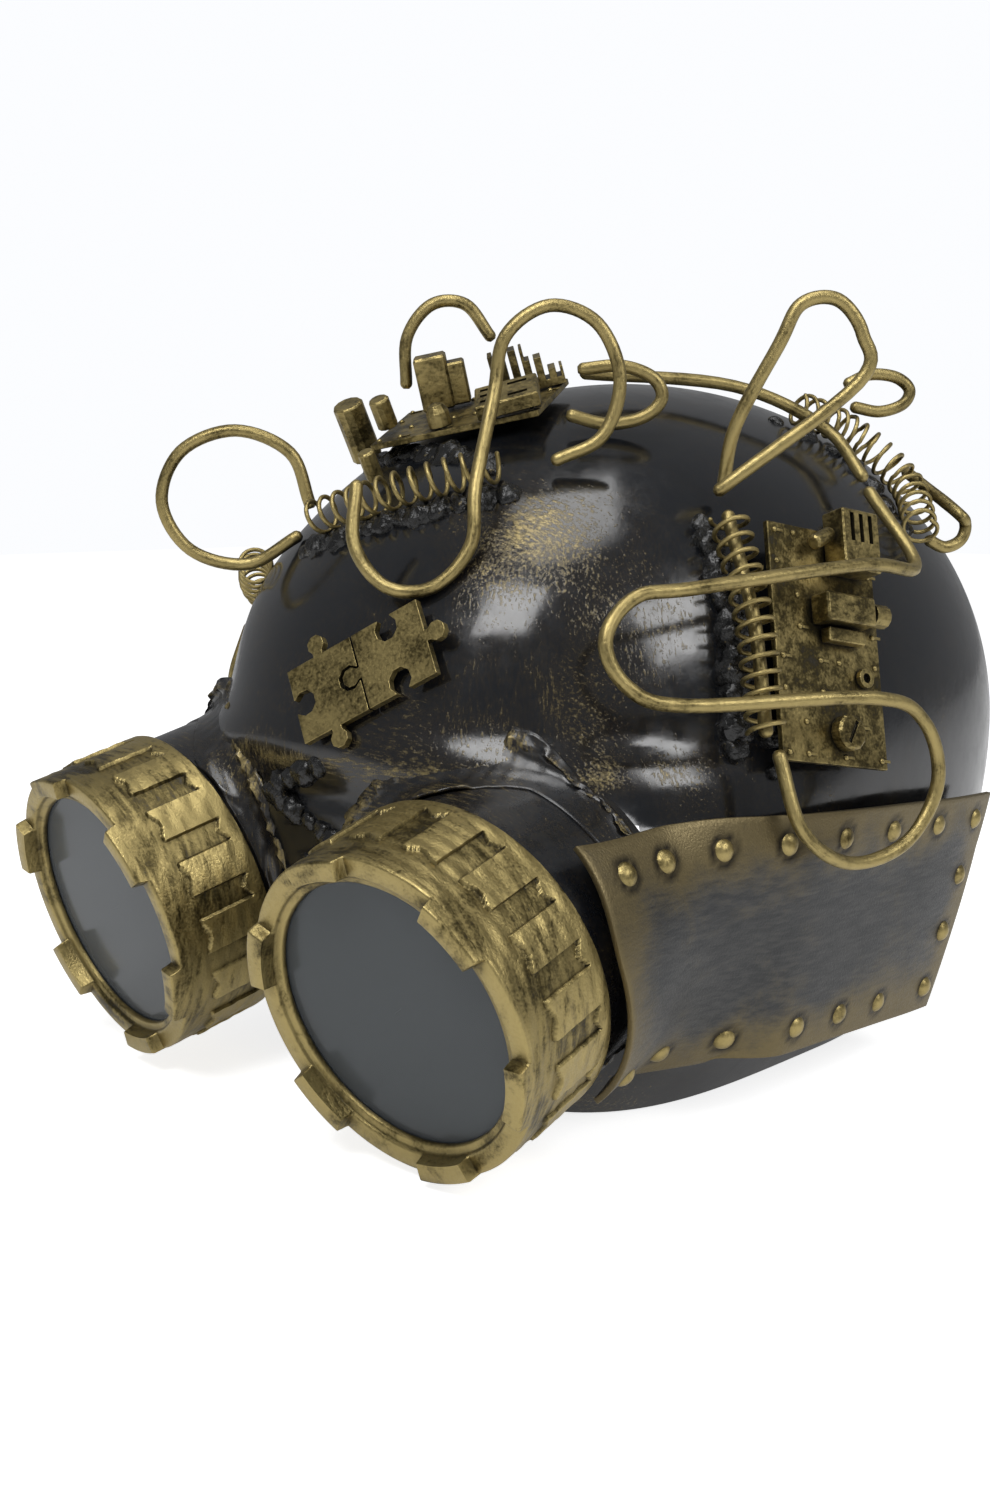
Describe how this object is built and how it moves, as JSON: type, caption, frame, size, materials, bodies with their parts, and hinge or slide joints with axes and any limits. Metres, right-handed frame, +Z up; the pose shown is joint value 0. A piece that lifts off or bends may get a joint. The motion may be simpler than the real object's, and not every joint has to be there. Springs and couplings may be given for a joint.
{
  "type": "steampunk goggle half-helmet mask",
  "caption": "Rigid half-helmet mask with two goggle barrels, screw-on lens rings, riveted cheek plates, springs, wire loops and salvaged circuit-board trim.",
  "frame": {"origin": "middle of the whole object's footprint at the level of the shell's lower rim", "axes": "+Z up, -Y the way the mask faces, +X towards the wearer's left"},
  "size_m": [0.2136, 0.2728, 0.1982],
  "materials": {
    "shell": "glossy black plastic dry-brushed with antique gold",
    "brass": "antique brass paint, dark in the recesses",
    "plate": "dark gunmetal paint with brass-rubbed edges",
    "lens": "smoked lens, satin",
    "seal": "matt black",
    "board": "black board dry-brushed with brass"
  },
  "bodies": {
    "helmet": {"back_arch": "brass", "bead_component": "board", "board_eyelet": "brass", "crown_spring": "brass", "crown_wire": "brass", "flat_loop": "brass", "front_board": "board", "front_left_loop": "brass", "front_spring": "brass", "heat_sink": "brass", "large_capacitor": "brass", "left_barrel_tube": "brass", "left_bottom_stud_strip": "brass", "left_cheek_plate": "plate", "left_rear_stud_strip": "brass", "left_top_stud_strip": "brass", "lower_jigsaw_piece": "brass", "middle_capacitor": "brass", "potentiometer": "brass", "rear_loop": "brass", "rear_small_loop": "brass", "relay_block": "board", "right_barrel_tube": "brass", "right_bottom_stud_strip": "brass", "right_cheek_plate": "plate", "right_loop": "brass", "right_rear_stud_strip": "brass", "right_spring": "brass", "right_top_stud_strip": "brass", "s_loop": "brass", "side_board": "board", "side_capacitor": "brass", "side_chip": "board", "side_spring": "brass", "side_wire": "brass", "skull_shell": "shell", "slotted_chip": "board", "slotted_connector": "brass", "small_capacitor": "brass", "top_loop": "brass", "trimmer_block": "brass", "trimmer_knob": "brass", "upper_jigsaw_piece": "brass"},
    "left_lens_stack": {"left_lens": "lens", "left_lens_seal": "seal"},
    "right_lens_stack": {"right_lens": "lens", "right_lens_seal": "seal"},
    "left_cap_ring": {"left_cap_ring": "brass"},
    "right_cap_ring": {"right_cap_ring": "brass"}
  },
  "joints": [
    {"name": "left_ring_advance", "type": "slide", "parent": "helmet", "child": "left_lens_stack", "axis": [0.0941, -0.9604, -0.2621], "range_m": [0, 0.0031]},
    {"name": "left_ring_turn", "type": "hinge", "parent": "left_lens_stack", "child": "left_cap_ring", "pos_m": [0.04799, -0.12321, 0.0385], "axis": [0.0941, -0.9604, -0.2621], "range_deg": [0, 360]},
    {"name": "right_ring_advance", "type": "slide", "parent": "helmet", "child": "right_lens_stack", "axis": [-0.0941, -0.9604, -0.2621], "range_m": [0, 0.0031]},
    {"name": "right_ring_turn", "type": "hinge", "parent": "right_lens_stack", "child": "right_cap_ring", "pos_m": [-0.06091, -0.12321, 0.041], "axis": [-0.0941, -0.9604, -0.2621], "range_deg": [0, 360]}
  ],
  "couplings": [
    {"joint": "left_ring_advance", "follows": "left_ring_turn", "m_per_rad": 0.00047746},
    {"joint": "right_ring_advance", "follows": "right_ring_turn", "m_per_rad": 0.00047746}
  ]
}
